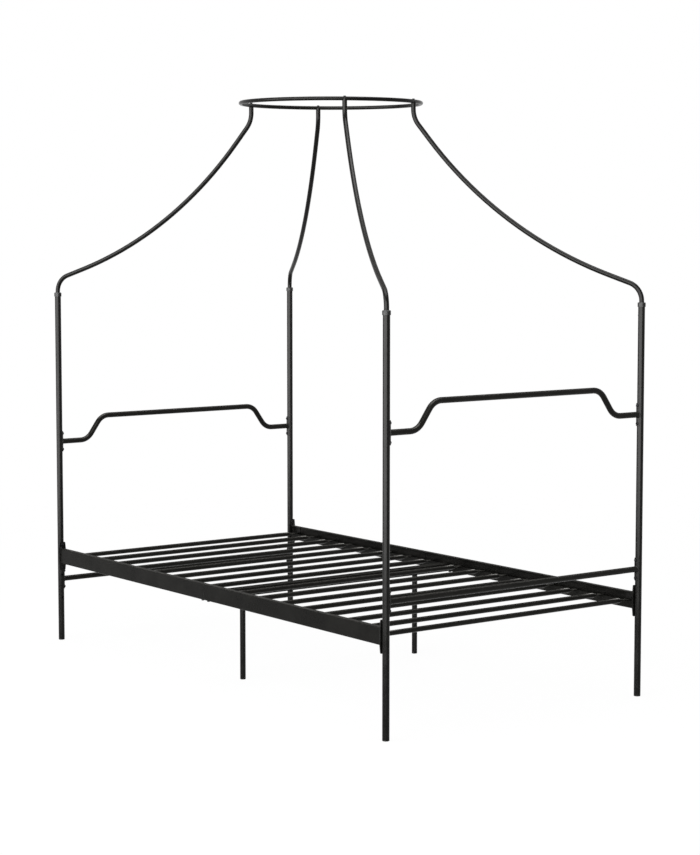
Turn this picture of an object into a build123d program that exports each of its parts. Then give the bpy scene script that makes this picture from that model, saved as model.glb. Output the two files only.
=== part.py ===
"""Twin size four poster canopy bed of black steel tube.

X runs across the bed, Y along it from the head (negative) to the foot, and Z up from the floor.
The origin is on the floor under the middle of the bed. All sizes are in millimetres.
"""
import os
from math import atan2, cos, degrees, hypot, radians, sqrt, tan

from build123d import *

# Posts
post_spacing_across = 1030.0
post_spacing_along = 1956.0
post_top = 1277.0
post_diameter = 22.0
post_wall = 1.5

# Collar on each post, made in one with the sleeve that the canopy arm stands in
collar_diameter = 26.0
collar_height = 14.0
collar_lip = 3.0
collar_taper = 1.8
socket_depth = 78.0
socket_stop = 3.0
socket_drain = 9.0

# Plugs that close the feet of posts and legs
foot_flange = 3.0
foot_spigot = 18.0
foot_spigot_wall = 2.0
foot_edge = 1.0

# Headboard and footboard tubes; each top rail rises in an S-bend near either post
head_rail_height = 917.5
foot_rail_height = 733.0
head_panel_depth = 500.6
foot_panel_depth = 507.0
panel_tube_diameter = 19.0
panel_tube_wall = 1.5
bend_inset = 117.0
bend_run = 61.0
bend_rise = 86.3
bend_radius = 55.0

# Curved saddle plates that fasten the panel tubes to the posts
saddle_thickness = 2.5
saddle_wrap = 42.0
saddle_height = 74.0
saddle_corner = 5.0
saddle_bolt_offset = 29.0

# Side rails: folded sheet with a flange along the top and a lip inside that carries the slats
rail_bottom = 285.0
rail_height = 54.0
rail_width = 18.0
rail_thickness = 2.0
rail_bend = 1.5
rail_lip = 24.5
rail_start = 20.0
rail_gap = 0.6

# Brackets at the rail ends, and the lower place that the posts are drilled for
bracket_height = 102.0
bracket_width = 28.0
bracket_tip_width = 23.0
bracket_thickness = 4.0
bracket_corner = 3.0
bracket_bolt_offset = 42.0
ear_thickness = 2.0
ear_length = 60.0
ear_clearance = 1.0
base_drop = 112.0

# Slats
slat_diameter = 16.0
slat_wall = 1.2
slat_pitch = 121.2
slat_first = 84.0
slat_end_margin = 40.0
tongue_length = 34.0
tongue_width = 22.0
tongue_thickness = 3.0
crush_length = 15.0
hook_gap = 0.5
hook_depth = 8.0
vent_diameter = 5.0
vent_inset = 20.0

# Support across the middle and its two legs
support_width = 40.0
support_height = 26.0
support_thickness = 2.0
support_bend = 1.8
support_clearance = 1.5
leg_inset = 147.0
leg_diameter = 19.0
leg_wall = 1.5
leg_plug_length = 22.0

# Splice inside each rail where its halves meet
splice_length = 120.0
splice_thickness = 4.0
splice_bolt_offset = 17.0
splice_clearance = 0.5

# Canopy arms and hoop; the two angles say how far the arm sags from a straight line to the hoop
arm_diameter = 16.0
arm_wall = 1.2
arm_stub = 4.2
arm_lower_bend = 61.0
arm_upper_bend = 82.0
arm_sag_at_post = 20.0
arm_sag_at_hoop = 11.4
arm_straight = 64.0
arm_neck = 26.0
arm_plug_clearance = 4.0
arm_screw_drop = 42.0
hoop_radius = 305.8
hoop_height = 1933.3
hoop_diameter = 13.0
hoop_wall = 1.2
hoop_seam = 0.3

# Fasteners
bolt_diameter = 6.0
bolt_length = 10.4
bolt_head_diameter = 10.0
bolt_head_height = 3.0
bolt_head_round = 1.6
bolt_socket = 4.0
bolt_socket_depth = 1.6
nut_diameter = 9.0
nut_length = 5.0
hex_nut_width = 10.0
hex_nut_height = 5.0
splice_head_height = 4.0
screw_diameter = 5.0
screw_head_diameter = 9.0
screw_head_height = 2.6
screw_bite = 11.0
arm_screw_diameter = 4.0
arm_screw_head_diameter = 8.0
arm_screw_bite = 5.0

# Clearance between pieces that fit together
fit = 0.15

# Places that follow from the sizes above
UP = (0, 0, 1)
DOWN = (0, 0, -1)
saddle_outer = post_diameter / 2 + fit + saddle_thickness
bend_start = post_spacing_across / 2 - bend_inset
bend_end = bend_start - bend_run
rail_middle = rail_bottom + rail_height / 2
lip_top = rail_bottom + rail_lip
lip_inner = post_spacing_across / 2 - rail_width / 2
hook_start = lip_inner + rail_thickness + hook_gap
slat_level = lip_top + tongue_thickness / 2
slat_end = lip_inner - tongue_length
support_top = lip_top + support_thickness
leg_offset = post_spacing_across / 2 - leg_inset
arm_screw_height = post_top - arm_screw_drop
nut_face = sqrt((post_diameter / 2) ** 2 - (nut_diameter / 2) ** 2)
corners = {
    "head_left": (-1, -1),
    "head_right": (1, -1),
    "foot_left": (-1, 1),
    "foot_right": (1, 1),
}
panel_ends = {"head": -1, "foot": 1}


def rod(start, direction, diameter, length):
    """A round bar from a point, along a direction."""
    return Solid.make_cylinder(diameter / 2, length, Plane(origin=start, z_dir=direction))


def pipe(start, direction, diameter, wall, length):
    """A straight round tube."""
    return rod(start, direction, diameter, length) - rod(start, direction, diameter - 2 * wall, length)


def block(low, high):
    """A box between two opposite corners."""
    size = [abs(b - a) for a, b in zip(low, high)]
    middle = [(a + b) / 2 for a, b in zip(low, high)]
    return Pos(*middle) * Box(*size)


def bent_tube(points, bends, diameter, wall):
    """A round tube along straight runs joined by bends."""
    path = FilletPolyline(*points, radius=bends)
    ring = Circle(diameter / 2) - Circle(diameter / 2 - wall)
    return sweep(Plane(origin=path @ 0, z_dir=path % 0) * ring, path=path)


def turned(*outline):
    """A piece turned about Z from the outline of half its section, as radius and height."""
    section = make_face(Polyline(*[(radius, 0, height) for radius, height in outline], close=True))
    return revolve(section, Axis.Z)


def bolt(diameter, length, head_diameter, head_height):
    """A button head bolt whose head stands on the origin, with its shank down."""
    head = rod((0, 0, 0), UP, head_diameter, head_height)
    rim = head.edges().filter_by(GeomType.CIRCLE).sort_by(Axis.Z)[-1]
    head = fillet(rim, bolt_head_round)
    hexagon = RegularPolygon(bolt_socket / 2, 6, major_radius=False)
    socket = extrude(Pos(0, 0, head_height) * hexagon, -bolt_socket_depth)
    return head - socket + rod((0, 0, 0), DOWN, diameter, length)


def place(piece, seat, outward):
    """The piece with its Z axis turned outward, standing on the seat."""
    return Plane(origin=seat, z_dir=outward) * piece


def post_centre(side, end):
    """Where a post stands on the floor."""
    return side * post_spacing_across / 2, end * post_spacing_along / 2


def panel_tube_heights(end):
    """Heights of the two tubes at one end of the bed."""
    if end < 0:
        return head_rail_height, head_rail_height - head_panel_depth
    return foot_rail_height, foot_rail_height - foot_panel_depth


def panel_bolt_heights(end):
    """Heights of the bolts that hold the tubes of one end to its posts."""
    steps = (-saddle_bolt_offset, saddle_bolt_offset)
    return [height + step for height in panel_tube_heights(end) for step in steps]


def base_bolt_heights(middle):
    """Heights of the bolts that hold a rail bracket whose middle is at this height."""
    return [middle - bracket_bolt_offset, middle + bracket_bolt_offset]


def post(side, end):
    """A tube, drilled on its inner faces for the panel nuts, the bracket nuts and the arm's screw."""
    x, y = post_centre(side, end)
    tube = pipe((x, y, foot_flange), UP, post_diameter, post_wall, post_top - collar_lip - foot_flange)
    for height in panel_bolt_heights(end):
        tube -= rod((x, y, height), (-side, 0, 0), nut_diameter + 2 * fit, post_diameter)
    for height in base_bolt_heights(rail_middle) + base_bolt_heights(rail_middle - base_drop):
        tube -= rod((x, y, height), (0, -end, 0), nut_diameter + 2 * fit, post_diameter)
    tube -= rod((x, y, arm_screw_height), (0, -end, 0), arm_screw_diameter + 2 * fit, post_diameter)
    return tube


def post_nuts(side, end):
    """The threaded sleeves set in the wall of one post."""
    x, y = post_centre(side, end)
    sleeve = pipe((0, 0, 0), DOWN, nut_diameter, (nut_diameter - bolt_diameter) / 2 - fit, nut_length)
    across = [place(sleeve, (x - side * nut_face, y, z), (-side, 0, 0)) for z in panel_bolt_heights(end)]
    heights = base_bolt_heights(rail_middle) + base_bolt_heights(rail_middle - base_drop)
    along = [place(sleeve, (x, y - end * nut_face, z), (0, -end, 0)) for z in heights]
    return across + along


def foot_plug(diameter, wall):
    """A plug with a flange as wide as its tube, standing on the floor."""
    spigot = diameter / 2 - wall - fit
    bore = spigot - foot_spigot_wall
    top = foot_flange + foot_spigot
    return turned(
        (0, 0), (diameter / 2 - foot_edge, 0), (diameter / 2, foot_edge), (diameter / 2, foot_flange),
        (spigot, foot_flange), (spigot, top), (bore, top), (bore, foot_flange), (0, foot_flange),
    )


def collar(side, end):
    """The cap on a post: an outer ring, a lip over the tube's rim, and a sleeve down inside with a floor."""
    bore = arm_diameter / 2 + fit
    sleeve = post_diameter / 2 - post_wall - fit
    seat = post_diameter / 2 + fit
    outer = collar_diameter / 2
    drain = socket_drain / 2
    cap = turned(
        (drain, -socket_depth), (sleeve, -socket_depth), (sleeve, -collar_lip), (seat, -collar_lip),
        (seat, -collar_height), (outer, -collar_height), (outer, -collar_taper), (outer - collar_taper, 0),
        (bore, 0), (bore, socket_stop - socket_depth), (drain, socket_stop - socket_depth),
    )
    cap -= rod((0, 0, -arm_screw_drop), (0, -end, 0), arm_screw_diameter + 2 * fit, post_diameter)
    return Pos(*post_centre(side, end), post_top) * cap


def drilled(plate, bolt_offset):
    """A plate on the +X side of a post at the origin, with its two bolt holes."""
    for step in (-bolt_offset, bolt_offset):
        plate -= rod((0, 0, step), (1, 0, 0), bolt_diameter + 2 * fit, post_diameter)
    return plate


def saddle():
    """A curved plate on the +X side of a post at the origin, centred on Z = 0."""
    middle = saddle_outer - saddle_thickness / 2
    section = Plane.XZ * Pos(middle, 0) * Rectangle(saddle_thickness, saddle_height)
    plate = Rot(0, 0, -saddle_wrap) * revolve(section, Axis.Z, revolution_arc=2 * saddle_wrap)
    tips = [edge for edge in plate.edges() if abs(edge.length - saddle_thickness) < fit]
    return drilled(fillet(tips, saddle_corner), saddle_bolt_offset)


def end_plate():
    """A flat plate on the +X side of a post at the origin: narrower at its ends, hollowed to fit the post."""
    half = bracket_width / 2
    tip = bracket_tip_width / 2
    top = bracket_height / 2
    shoulder = rail_height / 2
    outline = [(-tip, -top), (tip, -top), (half, -shoulder), (half, shoulder)]
    outline += [(-across, -up) for across, up in outline]
    face = make_face(Polyline(*[(saddle_outer, across, up) for across, up in outline], close=True))
    plate = extrude(face, bracket_thickness, dir=(-1, 0, 0))
    tips = [edge for edge in plate.edges().filter_by(Axis.X) if abs(edge.center().Z) > shoulder + fit]
    plate = fillet(tips, bracket_corner)
    plate -= rod((0, 0, -top), UP, post_diameter + 2 * fit, bracket_height)
    return drilled(plate, bracket_bolt_offset)


def coped(tube, end, height):
    """The tube with both ends hollowed to sit against the saddles on the two posts of one end."""
    for side in (-1, 1):
        x, y = post_centre(side, end)
        tube -= rod((x, y, height - panel_tube_diameter), UP, 2 * saddle_outer, 2 * panel_tube_diameter)
    return tube


def top_rail(end, height):
    """The S-bent tube of a headboard or footboard."""
    x, y = post_centre(1, end)
    rise = height + bend_rise
    left = [(-x, y, height), (-bend_start, y, height), (-bend_end, y, rise)]
    right = [(bend_end, y, rise), (bend_start, y, height), (x, y, height)]
    tube = bent_tube(left + right, bend_radius, panel_tube_diameter, panel_tube_wall)
    return coped(tube, end, height)


def crossbar(end, height):
    """The straight tube of a headboard or footboard."""
    x, y = post_centre(-1, end)
    tube = pipe((x, y, height), (1, 0, 0), panel_tube_diameter, panel_tube_wall, post_spacing_across)
    return coped(tube, end, height)


def tube_saddles(end, height):
    """The two saddles welded to the ends of one panel tube."""
    plate = saddle()
    left = Pos(*post_centre(-1, end), height) * plate
    right = Pos(*post_centre(1, end), height) * Rot(0, 0, 180) * plate
    return [left, right]


def half_rail(side, end):
    """One half of a side rail: web outside, flanges above and below, and the lip inside."""
    half = rail_width / 2
    skin = rail_thickness
    outline = [
        (-half, 0), (half, 0), (half, rail_lip), (half - skin, rail_lip), (half - skin, skin),
        (skin - half, skin), (skin - half, rail_height - skin), (half, rail_height - skin),
        (half, rail_height), (-half, rail_height),
    ]
    outer_folds = [(-half, 0), (half, 0), (-half, rail_height)]
    inner_folds = [(skin - half, skin), (half - skin, skin), (skin - half, rail_height - skin)]
    far = post_spacing_along / 2 - rail_start
    near = rail_gap / 2
    start = min(end * far, end * near)

    def spot(inward, up):
        return Vector(side * (post_spacing_across / 2 - inward), start, rail_bottom + up)

    section = make_face(Polyline(*[spot(*point) for point in outline], close=True))
    rail = extrude(section, far - near, dir=(0, 1, 0))
    for folds, radius in ((inner_folds, rail_bend), (outer_folds, rail_bend + skin)):
        places = [spot(*fold) for fold in folds]
        chosen = [
            edge for edge in rail.edges().filter_by(Axis.Y)
            if min(hypot(edge.center().X - at.X, edge.center().Z - at.Z) for at in places) < fit
        ]
        rail = fillet(chosen, radius)
    hole = (side * post_spacing_across / 2, end * splice_bolt_offset, rail_bottom)
    return rail - rod(hole, UP, bolt_diameter + 2 * fit, rail_lip)


def rail_bracket(side, end):
    """An end plate on the post with an ear that tapers into the rail and lies against its web."""
    x, y = post_centre(side, end)
    bracket = Pos(x, y, rail_middle) * Rot(0, 0, -90 * end) * end_plate()
    outside = x + side * (rail_width / 2 - rail_thickness - fit)
    root = bracket_bolt_offset - bolt_head_diameter / 2 - ear_clearance
    tip = rail_height / 2 - rail_thickness - rail_bend - fit
    outline = [(0, -root), (saddle_outer, -root), (rail_start, -tip), (ear_length, -tip)]
    outline += [(along, -up) for along, up in reversed(outline)]
    points = [(outside, y - end * along, rail_middle + up) for along, up in outline]
    ear = extrude(make_face(Polyline(*points, close=True)), ear_thickness, dir=(-side, 0, 0))
    ear -= rod((x, y, rail_middle - root), UP, 2 * saddle_outer - saddle_thickness, 2 * root)
    return bracket + ear


def slat():
    """A round tube with crushed flat ends that hook over the lips of the rails."""
    tube = pipe((-slat_end, 0, slat_level), (1, 0, 0), slat_diameter, slat_wall, 2 * slat_end)
    flat_start = slat_end + crush_length
    hook_end = hook_start + tongue_thickness
    across = tongue_width / 2
    top = lip_top + tongue_thickness
    for side in (-1, 1):
        round_end = Plane((side * slat_end, 0, slat_level), x_dir=(0, 1, 0), z_dir=(side, 0, 0))
        flat_end = Plane((side * flat_start, 0, slat_level), x_dir=(0, 1, 0), z_dir=(side, 0, 0))
        round_section = round_end * Circle(slat_diameter / 2)
        flat_section = flat_end * Ellipse(across, tongue_thickness / 2)
        crush = loft([round_section, flat_section])
        tongue = block((side * flat_start, -across, lip_top), (side * hook_end, across, top))
        hook = block((side * hook_start, -across, lip_top - hook_depth), (side * hook_end, across, top))
        tube = tube + crush + tongue + hook
        vent = (side * (slat_end - vent_inset), 0, slat_level)
        tube -= rod(vent, DOWN, vent_diameter, slat_diameter)
    return tube


def slat_places():
    """Where the slats lie along the bed, from head to foot, spread from the middle to either end."""
    reach = post_spacing_along / 2 - slat_end_margin - slat_first
    steps = range(int(reach / slat_pitch) + 1)
    half = [slat_first + step * slat_pitch for step in steps]
    return [-along for along in reversed(half)] + half


def centre_support():
    """A folded channel, open below, that hooks over both rails and carries the legs."""
    half = support_width / 2
    hook_end = hook_start + support_thickness
    body = block((-hook_end, -half, lip_top), (hook_end, half, support_top))
    inside = lip_inner - support_clearance
    for edge in (-1, 1):
        low = (-inside, edge * half, support_top - support_height)
        body += block(low, (inside, edge * (half - support_thickness), support_top))
    for side in (-1, 1):
        body += block((side * hook_start, -half, lip_top - hook_depth), (side * hook_end, half, support_top))
        body -= rod((side * leg_offset, 0, lip_top), UP, screw_diameter + 2 * fit, support_height)
    folds = [edge for edge in body.edges().filter_by(Axis.X) if edge.center().Z > support_top - fit]
    return fillet(folds, support_bend)


def centre_leg(side):
    """A tube from its foot plug up to the underside of the support."""
    return pipe((side * leg_offset, 0, foot_flange), UP, leg_diameter, leg_wall, lip_top - foot_flange)


def leg_plug(side):
    """The threaded plug in the top of a leg."""
    wall = leg_diameter / 2 - leg_wall - fit - screw_diameter / 2 - fit
    diameter = leg_diameter - 2 * leg_wall - 2 * fit
    return pipe((side * leg_offset, 0, lip_top), DOWN, diameter, wall, leg_plug_length)


def splice_plate(side):
    """The flat plate that bridges the two halves of a rail, inside its fold."""
    half = rail_width / 2 - rail_thickness - rail_bend - splice_clearance
    x = side * post_spacing_across / 2
    floor = rail_bottom + rail_thickness
    reach = splice_length / 2
    plate = block((x - half, -reach, floor), (x + half, reach, floor + splice_thickness))
    for end in (-1, 1):
        plate -= rod((x, end * splice_bolt_offset, floor), UP, bolt_diameter + 2 * fit, splice_thickness)
    return plate


def hex_nut():
    """A hexagon nut standing on the origin."""
    hexagon = RegularPolygon(hex_nut_width / 2, 6, major_radius=False)
    return extrude(hexagon, hex_nut_height) - rod((0, 0, 0), UP, bolt_diameter + 2 * fit, hex_nut_height)


def arm_path():
    """The bent line of a canopy arm, as distance from the middle of the bed and height, and its bends."""
    post_reach = hypot(post_spacing_across, post_spacing_along) / 2
    straight = degrees(atan2(hoop_height - post_top, post_reach - hoop_radius))
    low = radians(straight - arm_sag_at_post)
    high = radians(straight + arm_sag_at_hoop)
    low_tangent = arm_lower_bend * tan((radians(90) - low) / 2)
    high_tangent = arm_upper_bend * tan((radians(90) - high) / 2)
    low_corner = post_top + arm_stub + low_tangent
    high_corner = hoop_height - arm_neck - high_tangent
    span = post_reach - hoop_radius
    climb = high_corner - low_corner
    run = (span * tan(high) - climb) / (tan(high) - tan(low))
    low_run = run / cos(low) - low_tangent
    high_run = (span - run) / cos(high) - high_tangent
    sag = (min(low_run, high_run) - arm_straight) / tan((high - low) / 2)
    points = [
        (post_reach, post_top - socket_depth + socket_stop),
        (post_reach, low_corner),
        (post_reach - run, low_corner + run * tan(low)),
        (hoop_radius, high_corner),
        (hoop_radius, hoop_height),
    ]
    return points, [arm_lower_bend, sag, arm_upper_bend]


def hoop_seat(tube):
    """The tube, standing at the hoop's radius on the X axis, hollowed to fit under the hoop."""
    section = Plane.XZ * Pos(hoop_radius, hoop_height) * Circle(hoop_diameter / 2 + fit)
    span = 2 * degrees(atan2(arm_diameter, hoop_radius))
    bar = Rot(0, 0, -span / 2) * revolve(section, Axis.Z, revolution_arc=span)
    return tube - bar


def arm_angle(side, end):
    """The angle about Z of the line from the middle of the bed to a post."""
    x, y = post_centre(side, end)
    return degrees(atan2(y, x))


def hoop_point(side, end):
    """Where the hoop passes over an arm."""
    x, y = post_centre(side, end)
    share = hoop_radius / hypot(x, y)
    return share * x, share * y


def canopy_arm(side, end):
    """A tube from the floor of its socket up to the hoop, coped to the hoop's underside."""
    points, bends = arm_path()
    tube = bent_tube([(reach, 0, height) for reach, height in points], bends, arm_diameter, arm_wall)
    tube = Rot(0, 0, arm_angle(side, end)) * hoop_seat(tube)
    x, y = post_centre(side, end)
    return tube - rod((x, y, arm_screw_height), (0, -end, 0), arm_screw_diameter + 2 * fit, post_diameter)


def arm_plug(side, end):
    """The threaded plug in the top of an arm, hollowed to fit under the hoop."""
    wall = arm_diameter / 2 - arm_wall - fit - screw_diameter / 2 - fit
    diameter = arm_diameter - 2 * arm_wall - 2 * fit
    plug = pipe((hoop_radius, 0, hoop_height), DOWN, diameter, wall, arm_neck - arm_plug_clearance)
    return Rot(0, 0, arm_angle(side, end)) * hoop_seat(plug)


def hoop():
    """A tube rolled into a circle with its seam on the foot side, drilled for the arm screws."""
    outer = hoop_diameter / 2
    section = Plane.YZ * Pos(hoop_radius, hoop_height) * (Circle(outer) - Circle(outer - hoop_wall))
    ring = revolve(section, Axis.Z, revolution_arc=360 - degrees(hoop_seam / hoop_radius))
    for side, end in corners.values():
        start = (*hoop_point(side, end), hoop_height - hoop_diameter)
        ring -= rod(start, UP, screw_diameter + 2 * fit, 2 * hoop_diameter)
    return ring


def save(name, *pieces):
    """Write one node, as a single solid or as a group of separate solids."""
    shape = pieces[0] if len(pieces) == 1 else Compound(children=list(pieces))
    export_step(shape, f"parts/{name}.step")


os.makedirs("parts", exist_ok=True)

for name, (side, end) in corners.items():
    save(f"post_{name}", post(side, end))
    save(f"side_rail_{name}", half_rail(side, end))
    save(f"rail_bracket_{name}", rail_bracket(side, end))
    save(f"canopy_arm_{name}", canopy_arm(side, end))

for name, end in panel_ends.items():
    rail_level, crossbar_level = panel_tube_heights(end)
    save(f"{name}board_top_rail", top_rail(end, rail_level))
    save(f"{name}board_crossbar", crossbar(end, crossbar_level))
    save(f"{name}board_top_saddles", *tube_saddles(end, rail_level))
    save(f"{name}board_crossbar_saddles", *tube_saddles(end, crossbar_level))

one_slat = slat()
for number, along in enumerate(slat_places(), start=1):
    save(f"slat_{number:02d}", Pos(0, along, 0) * one_slat)

save("centre_support", centre_support())
for name, side in (("left", -1), ("right", 1)):
    save(f"centre_leg_{name}", centre_leg(side))
save("canopy_hoop", hoop())

post_plug = foot_plug(post_diameter, post_wall)
save("post_foot_plugs", *[Pos(*post_centre(*corner), 0) * post_plug for corner in corners.values()])
leg_foot = foot_plug(leg_diameter, leg_wall)
save("leg_foot_plugs", *[Pos(side * leg_offset, 0, 0) * leg_foot for side in (-1, 1)])
save("post_collars", *[collar(*corner) for corner in corners.values()])
save("post_nuts", *[nut for corner in corners.values() for nut in post_nuts(*corner)])
save("leg_top_plugs", *[leg_plug(side) for side in (-1, 1)])
save("arm_top_plugs", *[arm_plug(*corner) for corner in corners.values()])
save("rail_splice_plates", *[splice_plate(side) for side in (-1, 1)])

panel_bolt = bolt(bolt_diameter, bolt_length, bolt_head_diameter, bolt_head_height)
panel_bolts = []
bracket_bolts = []
arm_screws = []
hoop_screws = []
arm_screw = bolt(arm_screw_diameter, arm_screw_bite, arm_screw_head_diameter, screw_head_height)
hoop_screw = bolt(screw_diameter, hoop_diameter + screw_bite, screw_head_diameter, screw_head_height)
for side, end in corners.values():
    x, y = post_centre(side, end)
    for height in panel_bolt_heights(end):
        panel_bolts.append(place(panel_bolt, (x - side * saddle_outer, y, height), (-side, 0, 0)))
    for height in base_bolt_heights(rail_middle):
        bracket_bolts.append(place(panel_bolt, (x, y - end * saddle_outer, height), (0, -end, 0)))
    arm_screws.append(place(arm_screw, (x, y - end * post_diameter / 2, arm_screw_height), (0, -end, 0)))
    seat = (*hoop_point(side, end), hoop_height + hoop_diameter / 2)
    hoop_screws.append(place(hoop_screw, seat, UP))
save("panel_bolts", *panel_bolts)
save("rail_bracket_bolts", *bracket_bolts)
save("arm_screws", *arm_screws)
save("hoop_screws", *hoop_screws)

leg_screw = bolt(screw_diameter, support_thickness + screw_bite, screw_head_diameter, screw_head_height)
save("leg_screws", *[place(leg_screw, (side * leg_offset, 0, support_top), UP) for side in (-1, 1)])

splice_stack = rail_thickness + splice_thickness
splice_bolt = bolt(bolt_diameter, splice_stack + hex_nut_height, bolt_head_diameter, splice_head_height)
splice_bolts = []
splice_nuts = []
for side, end in corners.values():
    x = side * post_spacing_across / 2
    y = end * splice_bolt_offset
    splice_bolts.append(place(splice_bolt, (x, y, rail_bottom), DOWN))
    splice_nuts.append(Pos(x, y, rail_bottom + splice_stack) * hex_nut())
save("splice_bolts", *splice_bolts)
save("splice_nuts", *splice_nuts)
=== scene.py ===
"""Twin size four poster canopy bed of black powder coated steel tube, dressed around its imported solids."""
from math import atan2, cos, radians, sin, sqrt, tau

import bmesh
import bpy
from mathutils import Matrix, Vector


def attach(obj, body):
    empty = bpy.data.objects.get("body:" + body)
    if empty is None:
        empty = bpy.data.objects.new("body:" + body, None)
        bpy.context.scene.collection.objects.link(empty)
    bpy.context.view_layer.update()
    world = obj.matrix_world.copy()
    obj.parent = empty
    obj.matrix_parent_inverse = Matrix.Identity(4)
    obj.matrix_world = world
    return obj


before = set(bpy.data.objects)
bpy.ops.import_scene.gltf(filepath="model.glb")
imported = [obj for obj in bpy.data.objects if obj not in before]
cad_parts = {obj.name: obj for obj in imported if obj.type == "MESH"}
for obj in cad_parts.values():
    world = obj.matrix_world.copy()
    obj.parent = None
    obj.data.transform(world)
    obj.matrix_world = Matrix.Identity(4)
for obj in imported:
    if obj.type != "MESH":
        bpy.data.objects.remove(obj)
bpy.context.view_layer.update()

# Posts: four lengths of 22 mm round steel tube, drilled and powder coated satin black.
# The coat melts out into a fine orange peel, lies thin on sharp edges and is scuffed near the floor.
coat_black = (0.0036, 0.0035, 0.0032, 1)
coat_grey = (0.0060, 0.0058, 0.0053, 1)
coat_sheen = (1.0, 0.995, 0.985, 1)
thin_edge = (0.030, 0.029, 0.027, 1)
dust_grey = (0.060, 0.058, 0.053, 1)
coat_lift = 0.0002
wave_scale = 14.0
cloud_range = (0.3, 0.7)
bevel_samples = 6
edge_turn = (0.985, 0.84)
rub_scale = 150.0
rub_breaks = (0.32, 0.62)
facing_up = (0.6, 1.0)
dust_patches = (0.3, 0.75)
scuff_lean = (0.35, 0.2, 0.0)
scuff_stretch = (1.0, 1.0, 0.1)
scuff_scale = 950.0
scuff_range = (0.62, 0.72)
scuff_patch_scale = 42.0
scuff_patches = (0.46, 0.62)
FLOAT = "NodeSocketFloat"
COLOR = "NodeSocketColor"
VECTOR = "NodeSocketVector"
MIX_BELOW, MIX_ABOVE, MIX_RESULT = 6, 7, 2


def new_group(name, inputs, outputs):
    """A shader node group with named sockets: (name, kind, value) for inputs, (name, kind) for outputs."""
    group = bpy.data.node_groups.new(name, "ShaderNodeTree")
    for label, kind, value in inputs:
        group.interface.new_socket(label, in_out="INPUT", socket_type=kind).default_value = value
    for label, kind in outputs:
        group.interface.new_socket(label, in_out="OUTPUT", socket_type=kind)
    return group, group.nodes.new("NodeGroupInput").outputs, group.nodes.new("NodeGroupOutput").inputs


def add_node(tree, kind, **settings):
    """A new node with its properties set by name."""
    made = tree.nodes.new(kind)
    for label, value in settings.items():
        setattr(made, label, value)
    return made


def feed(tree, socket, value):
    """Gives a socket a fixed value or a link."""
    if isinstance(value, bpy.types.NodeSocket):
        tree.links.new(value, socket)
    else:
        socket.default_value = value


def reckon(tree, operation, first, second=0.0, clamp=False):
    """The result of a Math node on links or numbers."""
    made = add_node(tree, "ShaderNodeMath", operation=operation, use_clamp=clamp)
    feed(tree, made.inputs[0], first)
    feed(tree, made.inputs[1], second)
    return made.outputs[0]


def eased(tree, value, low, high, to_low=0.0, to_high=1.0):
    """A value carried smoothly from one range to another, and held at both ends."""
    made = add_node(tree, "ShaderNodeMapRange", interpolation_type="SMOOTHSTEP")
    feed(tree, made.inputs["Value"], value)
    for label, number in zip(("From Min", "From Max", "To Min", "To Max"), (low, high, to_low, to_high)):
        feed(tree, made.inputs[label], number)
    return made.outputs["Result"]


def speckle(tree, vector, scale, detail=2.0, rough=0.5):
    """A noise pattern on a vector."""
    made = add_node(tree, "ShaderNodeTexNoise")
    feed(tree, made.inputs["Vector"], vector)
    feed(tree, made.inputs["Scale"], scale)
    feed(tree, made.inputs["Detail"], detail)
    feed(tree, made.inputs["Roughness"], rough)
    return made.outputs["Fac"]


def on_piece(tree):
    """Object coordinates: metres in the frame that all pieces share."""
    return add_node(tree, "ShaderNodeTexCoord").outputs["Object"]


def face_normal(tree):
    """The direction that the surface faces."""
    return add_node(tree, "ShaderNodeNewGeometry").outputs["Normal"]


def coordinate(tree, vector, axis):
    """The X, Y or Z of a vector."""
    made = add_node(tree, "ShaderNodeSeparateXYZ")
    tree.links.new(vector, made.inputs[0])
    return made.outputs[axis]


def along(tree, vector, axis):
    """How far a vector reaches along another, which is a link or fixed."""
    made = add_node(tree, "ShaderNodeVectorMath", operation="DOT_PRODUCT")
    tree.links.new(vector, made.inputs[0])
    feed(tree, made.inputs[1], axis)
    return made.outputs["Value"]


def over(tree, mask, below, above):
    """One colour laid over another by a mask; the upper one is a link or fixed."""
    made = add_node(tree, "ShaderNodeMix", data_type="RGBA")
    tree.links.new(mask, made.inputs["Factor"])
    tree.links.new(below, made.inputs[MIX_BELOW])
    feed(tree, made.inputs[MIX_ABOVE], above)
    return made.outputs[MIX_RESULT]


orange_peel, given, put = new_group(
    "orange_peel",
    [("Peel", FLOAT, 420.0), ("Grit", FLOAT, 2600.0), ("Grit Share", FLOAT, 0.3), ("Waves", FLOAT, 0.0)],
    [("Height", FLOAT)],
)
where = on_piece(orange_peel)
lumps = speckle(orange_peel, where, given["Peel"], detail=1.0)
grit = reckon(orange_peel, "MULTIPLY", speckle(orange_peel, where, given["Grit"]), given["Grit Share"])
waves = speckle(orange_peel, where, wave_scale, detail=1.0)
waves = reckon(orange_peel, "MULTIPLY", waves, given["Waves"])
skin = reckon(orange_peel, "ADD", reckon(orange_peel, "ADD", lumps, grit), waves)
orange_peel.links.new(skin, put["Height"])

coat_tone, given, put = new_group(
    "coat_tone",
    [("Dark", COLOR, coat_black), ("Light", COLOR, coat_grey), ("Scale", FLOAT, 11.0)],
    [("Color", COLOR), ("Mottle", FLOAT)],
)
clouds = speckle(coat_tone, on_piece(coat_tone), given["Scale"], detail=4.0, rough=0.6)
clouds = eased(coat_tone, clouds, *cloud_range)
coat_tone.links.new(over(coat_tone, clouds, given["Dark"], given["Light"]), put["Color"])
coat_tone.links.new(clouds, put["Mottle"])

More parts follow.
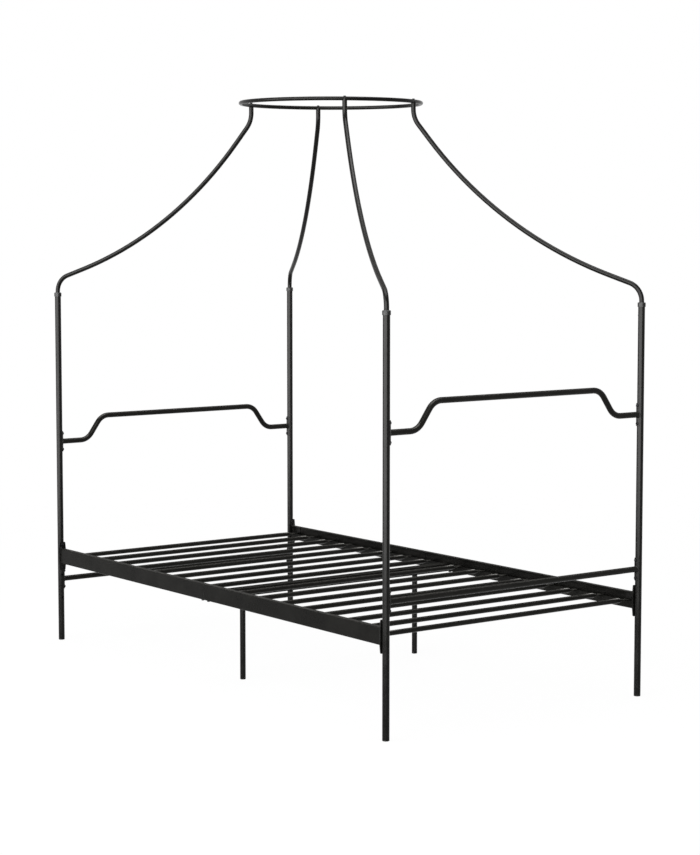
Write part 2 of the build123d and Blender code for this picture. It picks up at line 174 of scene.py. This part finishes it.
edge_rub, given, put = new_group(
    "edge_rub",
    [("Width", FLOAT, 0.0011), ("Amount", FLOAT, 0.5)],
    [("Mask", FLOAT), ("Normal", VECTOR)],
)
rounded = add_node(edge_rub, "ShaderNodeBevel", samples=bevel_samples)
edge_rub.links.new(given["Width"], rounded.inputs["Radius"])
edges = eased(edge_rub, along(edge_rub, rounded.outputs[0], face_normal(edge_rub)), *edge_turn)
breaks = eased(edge_rub, speckle(edge_rub, on_piece(edge_rub), rub_scale, detail=3.0), *rub_breaks)
edges = reckon(edge_rub, "MULTIPLY", edges, breaks)
edge_rub.links.new(reckon(edge_rub, "MULTIPLY", edges, given["Amount"], clamp=True), put["Mask"])
edge_rub.links.new(rounded.outputs[0], put["Normal"])

settled_dust, given, put = new_group(
    "settled_dust",
    [("Amount", FLOAT, 0.1), ("Scale", FLOAT, 38.0), ("Dulling", FLOAT, 0.6)],
    [("Mask", FLOAT), ("Dullness", FLOAT)],
)
upward = eased(settled_dust, coordinate(settled_dust, face_normal(settled_dust), "Z"), *facing_up)
patches = speckle(settled_dust, on_piece(settled_dust), given["Scale"], detail=5.0, rough=0.65)
laid = reckon(settled_dust, "MULTIPLY", upward, eased(settled_dust, patches, *dust_patches))
settled_dust.links.new(reckon(settled_dust, "MULTIPLY", laid, given["Amount"], clamp=True), put["Mask"])
settled_dust.links.new(reckon(settled_dust, "MULTIPLY", upward, given["Dulling"]), put["Dullness"])

fine_scuffs, given, put = new_group(
    "fine_scuffs",
    [("Low", FLOAT, 0.0), ("High", FLOAT, 0.14), ("Amount", FLOAT, 0.5)],
    [("Mask", FLOAT)],
)
where = on_piece(fine_scuffs)
drawn_out = add_node(fine_scuffs, "ShaderNodeMapping")
drawn_out.inputs["Scale"].default_value = scuff_stretch
drawn_out.inputs["Rotation"].default_value = scuff_lean
fine_scuffs.links.new(where, drawn_out.inputs["Vector"])
marks = eased(fine_scuffs, speckle(fine_scuffs, drawn_out.outputs[0], scuff_scale), *scuff_range)
patches = eased(fine_scuffs, speckle(fine_scuffs, where, scuff_patch_scale), *scuff_patches)
near = eased(fine_scuffs, coordinate(fine_scuffs, where, "Z"), given["High"], given["Low"])
marks = reckon(fine_scuffs, "MULTIPLY", reckon(fine_scuffs, "MULTIPLY", marks, patches), near)
fine_scuffs.links.new(reckon(fine_scuffs, "MULTIPLY", marks, given["Amount"], clamp=True), put["Mask"])


def use(tree, group, **values):
    """The outputs of a node group placed in a material with its own values."""
    made = add_node(tree, "ShaderNodeGroup", node_tree=group)
    for label, value in values.items():
        made.inputs[label.replace("_", " ")].default_value = value
    return made.outputs


def new_material(name, gloss, metal=0.0):
    """A material with its shader's fixed sockets set; gives it, its tree and the shader's inputs."""
    made = bpy.data.materials.new(name)
    made.use_nodes = True
    shader = made.node_tree.nodes["Principled BSDF"].inputs
    shader["Specular IOR Level"].default_value = gloss
    shader["Metallic"].default_value = metal
    return made, made.node_tree, shader


def uneven_shine(tree, ground, rough, smoother, rougher):
    """A roughness that wanders a little to both sides with the mottle of the tone."""
    return eased(tree, ground["Mottle"], 0.0, 1.0, rough - smoother, rough + rougher)


def roughen(tree, shader, skin, worn, strength, lift):
    """Turns the shader's normal by a fine relief that lies over softened edges."""
    bump = add_node(tree, "ShaderNodeBump")
    bump.inputs["Strength"].default_value = strength
    bump.inputs["Distance"].default_value = lift
    tree.links.new(skin["Height"], bump.inputs["Height"])
    tree.links.new(worn["Normal"], bump.inputs["Normal"])
    tree.links.new(bump.outputs["Normal"], shader["Normal"])


def powder_coat(
    name, rough=0.25, gloss=0.09, sheen=coat_sheen, peel=420.0, waves=0.0,
    edge=0.4, dust=0.08, dull=0.6, scuff=0.0, relief=0.25,
):
    """Satin black powder coat on steel: mottled tone, orange peel, thin edges, dust and scuffs."""
    made, tree, shader = new_material(name, gloss)
    shader["Specular Tint"].default_value = sheen
    ground = use(tree, coat_tone)
    worn = use(tree, edge_rub, Amount=edge)
    laid = use(tree, settled_dust, Amount=dust, Dulling=dull)
    colour = over(tree, worn["Mask"], ground["Color"], thin_edge)
    if scuff:
        colour = over(tree, use(tree, fine_scuffs, Amount=scuff)["Mask"], colour, thin_edge)
    tree.links.new(over(tree, laid["Mask"], colour, dust_grey), shader["Base Color"])
    shine = uneven_shine(tree, ground, rough, smoother=0.03, rougher=0.04)
    tree.links.new(reckon(tree, "ADD", shine, laid["Dullness"], clamp=True), shader["Roughness"])
    roughen(tree, shader, use(tree, orange_peel, Peel=peel, Waves=waves), worn, relief, coat_lift)
    return made


def dress(material, *names):
    """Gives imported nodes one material."""
    for name in names:
        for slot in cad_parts[name].material_slots:
            slot.material = material


post_names = ("head_left", "head_right", "foot_left", "foot_right")
dress(powder_coat("post_coat", scuff=0.8), *[f"post_{name}" for name in post_names])

# Foot plugs and collars: black polyethylene mouldings pressed into the tubes by hand.
# They keep the fine spark grain of their mould, and dull where they rub on the floor.
plastic_black = (0.0040, 0.0040, 0.0040, 1)
plastic_grey = (0.0065, 0.0065, 0.0063, 1)
floor_rub = (0.040, 0.039, 0.037, 1)
plastic_gloss = 0.2
grain_relief = 0.35
grain_lift = 0.00012


def moulded_plastic(name, rough, scuff, reach):
    """Black moulded plastic with spark grain, softened edges and scuffs up to a height above the floor."""
    made, tree, shader = new_material(name, plastic_gloss)
    ground = use(tree, coat_tone, Dark=plastic_black, Light=plastic_grey, Scale=70.0)
    worn = use(tree, edge_rub, Width=0.0008, Amount=0.35)
    colour = over(tree, worn["Mask"], ground["Color"], floor_rub)
    colour = over(tree, use(tree, fine_scuffs, High=reach, Amount=scuff)["Mask"], colour, floor_rub)
    tree.links.new(colour, shader["Base Color"])
    shine = uneven_shine(tree, ground, rough, smoother=0.05, rougher=0.05)
    tree.links.new(shine, shader["Roughness"])
    grain = use(tree, orange_peel, Peel=1900.0, Grit=5200.0, Grit_Share=0.6)
    roughen(tree, shader, grain, worn, grain_relief, grain_lift)
    return made


plug_plastic = moulded_plastic("plug_plastic", rough=0.5, scuff=0.9, reach=0.006)
dress(plug_plastic, "post_foot_plugs", "leg_foot_plugs")
dress(moulded_plastic("collar_plastic", rough=0.42, scuff=0.0, reach=0.01), "post_collars")

# Headboard and footboard: 19 mm tubes, coped at both ends and welded to curved saddle plates.
# Each saddle is bolted to its post through two holes; the coat goes on after welding.
warm_sheen = (1.0, 0.97, 0.89, 1)
half_across = 0.515
half_along = 0.978
panel_tubes = {"headboard": (-1, 0.9175, 0.4169), "footboard": (1, 0.733, 0.226)}
panel_tube_radius = 0.0095
saddle_radius = 0.01365
bead_radius = 0.0016
bead_stand_off = 0.25
bead_sides = 10
bead_steps = 104
bead_ripples = 26
ripple_depth = 0.10
ripple_wander = 0.8
wander_waves = 3
drift = 0.07
drift_waves = 2
turn_per_metre = 40


def new_piece(name, bm, material):
    """A finished mesh as a piece that rides with the bed."""
    mesh = bpy.data.meshes.new(name)
    bm.to_mesh(mesh)
    bm.free()
    mesh.materials.append(material)
    for face in mesh.polygons:
        face.use_smooth = True
    piece = bpy.data.objects.new(name, mesh)
    bpy.context.collection.objects.link(piece)
    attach(piece, "root")


def bead_swell(around, ripples, turn):
    """How thick a hand laid bead is at a place along its run: uneven ripples and a slow drift."""
    uneven = ripples * around + turn + ripple_wander * sin(wander_waves * around + turn)
    return 1 + ripple_depth * cos(uneven) + drift * sin(drift_waves * around + wander_waves * turn)


def bead_ring(bm, ring_radius, thickness, ripples, turn):
    """A rippled weld bead around the X axis at the origin; gives its vertices."""
    profile = bmesh.ops.create_circle(bm, segments=bead_sides, radius=thickness)["verts"]
    bmesh.ops.translate(bm, verts=profile, vec=(0, ring_radius, 0))
    rim = list({edge for vert in profile for edge in vert.link_edges})
    bmesh.ops.spin(
        bm, geom=profile + rim, cent=(0, 0, 0), axis=(1, 0, 0), angle=tau, steps=bead_steps, use_merge=True
    )
    verts = list(bm.verts)
    for vert in verts:
        around = atan2(vert.co.z, vert.co.y)
        heart = Vector((0, ring_radius * cos(around), ring_radius * sin(around)))
        vert.co = heart + (vert.co - heart) * bead_swell(around, ripples, turn)
    return verts


def saddle_bead(side, end, height):
    """The fillet weld between one end of a panel tube and its saddle."""
    bm = bmesh.new()
    turn = height * turn_per_metre + side
    for vert in bead_ring(bm, panel_tube_radius, bead_radius, bead_ripples, turn):
        reach = min(abs(vert.co.y), panel_tube_radius)
        vert.co.x += sqrt(saddle_radius ** 2 - reach ** 2) + bead_radius * bead_stand_off
    if side > 0:
        bmesh.ops.scale(bm, verts=bm.verts[:], vec=(-1, 1, 1))
    bmesh.ops.translate(bm, verts=bm.verts[:], vec=(side * half_across, end * half_along, height))
    bmesh.ops.recalc_face_normals(bm, faces=bm.faces[:])
    return bm


tube_coat = powder_coat("panel_tube_coat", sheen=warm_sheen, dust=0.14)
saddle_coat = powder_coat("saddle_coat", rough=0.3, edge=0.6, peel=520.0)
weld_coat = powder_coat("weld_coat", rough=0.33, edge=0.0, peel=640.0, relief=0.35)
for panel, (end, top_level, bar_level) in panel_tubes.items():
    dress(tube_coat, f"{panel}_top_rail", f"{panel}_crossbar")
    dress(saddle_coat, f"{panel}_top_saddles", f"{panel}_crossbar_saddles")
    for tube, level in (("rail", top_level), ("crossbar", bar_level)):
        for hand, side in (("left", -1), ("right", 1)):
            new_piece(f"{panel}_{tube}_weld_{hand}", saddle_bead(side, end, level), weld_coat)

# Bolts and nuts: button head bolts in black zinc, driven with a hex key into threaded steel sleeves.
# The key brightens the rim of its socket; plates and plugs inside the tubes and rails are bright zinc.
zinc_black = (0.0060, 0.0060, 0.0063, 1)
zinc_smoke = (0.0100, 0.0100, 0.0106, 1)
key_bright = (0.036, 0.036, 0.037, 1)
zinc_bright = (0.46, 0.46, 0.48, 1)
zinc_pale = (0.60, 0.60, 0.62, 1)
zinc_metal = 0.85
turned_relief = 0.15
turned_lift = 0.0001


def plated(name, dark, light, gloss, scale, rough, edge, rim):
    """Zinc plated steel: cloudy tone, rubbed edges and a faint turned grain."""
    made, tree, shader = new_material(name, gloss, zinc_metal)
    ground = use(tree, coat_tone, Dark=dark, Light=light, Scale=scale)
    worn = use(tree, edge_rub, Width=0.0004, Amount=edge)
    tree.links.new(over(tree, worn["Mask"], ground["Color"], rim), shader["Base Color"])
    shine = uneven_shine(tree, ground, rough, smoother=0.06, rougher=0.08)
    tree.links.new(shine, shader["Roughness"])
    grain = use(tree, orange_peel, Peel=1500.0, Grit_Share=0.5)
    roughen(tree, shader, grain, worn, turned_relief, turned_lift)
    return made


black_zinc = plated(
    "black_zinc", zinc_black, zinc_smoke, gloss=0.15, scale=240.0, rough=0.36, edge=0.7, rim=key_bright
)
sleeve_zinc = plated(
    "sleeve_zinc", zinc_black, zinc_smoke, gloss=0.15, scale=300.0, rough=0.5, edge=0.1, rim=zinc_smoke
)
bright_zinc = plated(
    "bright_zinc", zinc_bright, zinc_pale, gloss=0.5, scale=420.0, rough=0.3, edge=0.2, rim=zinc_pale
)
dress(black_zinc, "panel_bolts", "rail_bracket_bolts", "splice_bolts")
dress(black_zinc, "arm_screws", "hoop_screws", "leg_screws")
dress(sleeve_zinc, "post_nuts")
dress(bright_zinc, "leg_top_plugs", "arm_top_plugs", "rail_splice_plates", "splice_nuts")

# Side rails: sheet steel folded into a channel with a lip inside, in halves spliced at the middle.
# Tapered brackets, an end plate and an ear welded together, carry the rail ends on the posts.
side_rail_level = 0.312
ear_outside = 0.00685
ear_thickness = 0.002
ear_half_height = 0.0345
ear_bead = 0.0014
ear_stand_off = 0.2
ear_steps = 44
ear_ripples = 22
ear_tip = 0.35
ear_tip_growth = 6


def ear_weld(side, end):
    """The two upright beads between a bracket's ear and its end plate."""
    bm = bmesh.new()
    length = 2 * ear_half_height
    stand_off = ear_bead * ear_stand_off
    for across, away in ((ear_outside, 1), (ear_outside - ear_thickness, -1)):
        profile = bmesh.ops.create_circle(bm, cap_ends=True, segments=bead_sides, radius=ear_bead)["verts"]
        strand = list(profile)
        top = list({face for vert in profile for face in vert.link_faces})
        for step in range(ear_steps):
            grown = bmesh.ops.extrude_face_region(bm, geom=top)["geom"]
            if step:
                bmesh.ops.delete(bm, geom=top, context="FACES_ONLY")
            verts = [item for item in grown if isinstance(item, bmesh.types.BMVert)]
            top = [item for item in grown if isinstance(item, bmesh.types.BMFace)]
            bmesh.ops.translate(bm, verts=verts, vec=(0, 0, length / ear_steps))
            strand += verts
        for vert in strand:
            share = vert.co.z / length
            taper = min(1.0, ear_tip + ear_tip_growth * min(share, 1 - share))
            swell = taper * bead_swell(tau * share, ear_ripples, away)
            vert.co.x *= swell
            vert.co.y *= swell
        foot = (across + away * stand_off, saddle_radius + stand_off, -ear_half_height)
        bmesh.ops.translate(bm, verts=strand, vec=foot)
    bmesh.ops.scale(bm, verts=bm.verts[:], vec=(side, -end, 1))
    middle = (side * half_across, end * half_along, side_rail_level)
    bmesh.ops.translate(bm, verts=bm.verts[:], vec=middle)
    bmesh.ops.recalc_face_normals(bm, faces=bm.faces[:])
    return bm


rail_coat = powder_coat(
    "rail_coat", rough=0.3, gloss=0.05, sheen=warm_sheen, peel=360.0, waves=0.9,
    edge=0.5, dust=0.1, dull=0.38,
)
bracket_coat = powder_coat("bracket_coat", rough=0.3, edge=0.6, peel=520.0)
dress(rail_coat, *[f"side_rail_{name}" for name in post_names])
dress(bracket_coat, *[f"rail_bracket_{name}" for name in post_names])
for name in post_names:
    side = -1 if name.endswith("left") else 1
    end = -1 if name.startswith("head") else 1
    new_piece(f"rail_bracket_weld_{name}", ear_weld(side, end), weld_coat)

# Slats: 16 mm tube with both ends crushed flat and hooked over the lips of the rails.
# A folded channel across the middle hooks on in the same way and stands on two tube legs.
# Painted highlight: a light grey laid into the slat coat's base colour along the top ridge just before each
# crushed end, standing in for light caught at the crush.
crush_start = 0.472
highlight_run_out = 0.006
ridge_top = (0.7, 0.95)
painted_highlight_grey = (0.280, 0.274, 0.262, 1)
painted_end_highlight, given, put = new_group(
    "painted_end_highlight",
    [("Start", FLOAT, crush_start), ("Run", FLOAT, 0.055), ("Amount", FLOAT, 0.8)],
    [("Mask", FLOAT)],
)
reach = reckon(painted_end_highlight, "ABSOLUTE", coordinate(painted_end_highlight, on_piece(painted_end_highlight), "X"))
before = reckon(painted_end_highlight, "SUBTRACT", given["Start"], given["Run"])
after = reckon(painted_end_highlight, "ADD", given["Start"], highlight_run_out)
ridge = eased(painted_end_highlight, coordinate(painted_end_highlight, face_normal(painted_end_highlight), "Z"), *ridge_top)
rising = eased(painted_end_highlight, reach, before, given["Start"])
falling = eased(painted_end_highlight, reach, after, given["Start"])
marks = reckon(painted_end_highlight, "MULTIPLY", reckon(painted_end_highlight, "MULTIPLY", rising, falling), ridge)
painted_end_highlight.links.new(reckon(painted_end_highlight, "MULTIPLY", marks, given["Amount"], clamp=True), put["Mask"])

slat_coat = powder_coat("slat_coat", gloss=0.08, sheen=warm_sheen, peel=460.0, edge=0.5, dust=0.12)
# The painted end highlight is mixed over the slat coat's base colour here.
tree = slat_coat.node_tree
coat = tree.nodes["Principled BSDF"].inputs["Base Color"]
tree.links.new(over(tree, use(tree, painted_end_highlight)["Mask"], coat.links[0].from_socket, painted_highlight_grey), coat)
support_coat = powder_coat(
    "support_coat", rough=0.34, gloss=0.03, sheen=warm_sheen, peel=360.0, waves=2.0,
    edge=0.5, dust=0.05, dull=0.9,
)
dress(slat_coat, *[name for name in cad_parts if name.startswith("slat_")])
dress(support_coat, "centre_support")
dress(powder_coat("leg_coat", scuff=0.8), "centre_leg_left", "centre_leg_right")

# Canopy: four arms of 16 mm tube bent in three places stand in the collars and carry the hoop.
# The hoop is 13 mm tube rolled into a circle, butt welded and dressed flush, screwed down to each arm.
hoop_radius = 0.3058
hoop_level = 1.9333
hoop_tube_radius = 0.0065
seam_bead = 0.0009
seam_ripples = 18
seam_sink = 0.45
dress(powder_coat("arm_coat", gloss=0.065, dust=0.06), *[f"canopy_arm_{name}" for name in post_names])
dress(powder_coat("hoop_coat", gloss=0.055, peel=480.0, dust=0.12), "canopy_hoop")
bm = bmesh.new()
seam = bead_ring(bm, hoop_tube_radius - seam_bead * seam_sink, seam_bead, seam_ripples, 0.0)
bmesh.ops.translate(bm, verts=seam, vec=(0, hoop_radius, hoop_level))
bmesh.ops.recalc_face_normals(bm, faces=bm.faces[:])
new_piece("hoop_seam_weld", bm, weld_coat)

# Floor and light: pale studio paper that runs out into white, a broad window of light on the left,
# a panel overhead and an even fill; the camera stands where the photograph was taken from.
floor_reach = 6.0
floor_sides = 96
floor_fade = (3.2, 4.8)
paper_white = (0.95, 0.95, 0.95, 1)
paper_rough = 0.9
white_share = 0.94
bm = bmesh.new()
bmesh.ops.create_circle(bm, cap_ends=True, segments=floor_sides, radius=floor_reach)
floor_mesh = bpy.data.meshes.new("floor")
bm.to_mesh(floor_mesh)
bm.free()
floor = bpy.data.objects.new("floor", floor_mesh)
bpy.context.collection.objects.link(floor)
paper, tree, shader = new_material("floor_paper", 0.0)
shader["Base Color"].default_value = paper_white
shader["Roughness"].default_value = paper_rough


def seen_rays(tree):
    """One for rays that show the white surroundings: from the camera, refracted or off a gloss."""
    rays = add_node(tree, "ShaderNodeLightPath").outputs
    seen = reckon(tree, "MAXIMUM", rays["Is Camera Ray"], rays["Is Transmission Ray"])
    return reckon(tree, "MAXIMUM", seen, rays["Is Glossy Ray"])


white = add_node(tree, "ShaderNodeEmission")
lit_or_white = add_node(tree, "ShaderNodeMixShader")
tree.links.new(reckon(tree, "MULTIPLY", seen_rays(tree), white_share), lit_or_white.inputs[0])
tree.links.new(tree.nodes["Principled BSDF"].outputs[0], lit_or_white.inputs[1])
tree.links.new(white.outputs[0], lit_or_white.inputs[2])
from_middle = add_node(tree, "ShaderNodeVectorMath", operation="LENGTH")
tree.links.new(on_piece(tree), from_middle.inputs[0])
run_out = add_node(tree, "ShaderNodeMixShader")
tree.links.new(eased(tree, from_middle.outputs["Value"], *floor_fade), run_out.inputs[0])
tree.links.new(lit_or_white.outputs[0], run_out.inputs[1])
tree.links.new(add_node(tree, "ShaderNodeBsdfTransparent").outputs[0], run_out.inputs[2])
tree.links.new(run_out.outputs[0], tree.nodes["Material Output"].inputs["Surface"])
floor_mesh.materials.append(paper)

yaw, pitch = radians(36.55), radians(-4.97)
window_left, window_right, window_soft = radians(-14), radians(88), radians(5)
window_low, window_high, rise_soft = -0.26, 0.55, 0.06
panel_rise = (0.86, 0.92)
window_gloss, window_light, even_light = 14.0, 1.5, 0.55
studio = bpy.data.worlds.new("studio")
studio.use_nodes = True
bpy.context.scene.world = studio
tree = studio.node_tree
sky = add_node(tree, "ShaderNodeTexCoord").outputs["Generated"]


def between(value, low, high, soft):
    """One inside a range and nought outside it, with soft borders."""
    rising = eased(tree, value, low - soft, low + soft)
    return reckon(tree, "MULTIPLY", rising, eased(tree, value, high + soft, high - soft))


to_the_left = along(tree, sky, (-cos(yaw), sin(yaw), 0))
to_the_camera = along(tree, sky, (-sin(yaw), -cos(yaw), 0))
bearing = reckon(tree, "ARCTAN2", to_the_left, to_the_camera)
rise = along(tree, sky, (0, 0, 1))
window = between(bearing, window_left, window_right, window_soft)
window = reckon(tree, "MULTIPLY", window, between(rise, window_low, window_high, rise_soft))
window = reckon(tree, "MAXIMUM", window, eased(tree, rise, *panel_rise))
rays = add_node(tree, "ShaderNodeLightPath").outputs
gloss_or_light = eased(tree, rays["Is Glossy Ray"], 0.0, 1.0, window_light, window_gloss)
not_camera = reckon(tree, "SUBTRACT", 1.0, rays["Is Camera Ray"])
window = reckon(tree, "MULTIPLY", reckon(tree, "MULTIPLY", window, gloss_or_light), not_camera)
even = eased(tree, seen_rays(tree), 0.0, 1.0, even_light, 1.0)
background = tree.nodes["Background"].inputs
background["Color"].default_value = (1, 1, 1, 1)
tree.links.new(reckon(tree, "ADD", even, window), background["Strength"])

key_place = Vector((-3.4, -0.8, 2.6))
key_target = Vector((0, 0, 0.6))
key = bpy.data.lights.new("left_light", "AREA")
key.shape = "RECTANGLE"
key.size, key.size_y = 3.0, 2.0
key.energy = 60
key_stand = bpy.data.objects.new("left_light", key)
key_stand.location = key_place
key_stand.rotation_euler = (key_target - key_place).to_track_quat("-Z", "Y").to_euler()
bpy.context.collection.objects.link(key_stand)

lens = bpy.data.cameras.new("camera")
lens.lens = 91.54
lens.shift_x = 0.00629
lens.shift_y = -0.02078
lens.clip_end = 200
camera = bpy.data.objects.new("camera", lens)
camera.location = (-4.3886, -5.9982, 1.5372)
forward = Vector((sin(yaw) * cos(pitch), cos(yaw) * cos(pitch), sin(pitch)))
camera.rotation_euler = forward.to_track_quat("-Z", "Y").to_euler()
bpy.context.collection.objects.link(camera)
bpy.context.scene.camera = camera
bpy.context.scene.view_settings.view_transform = "Standard"
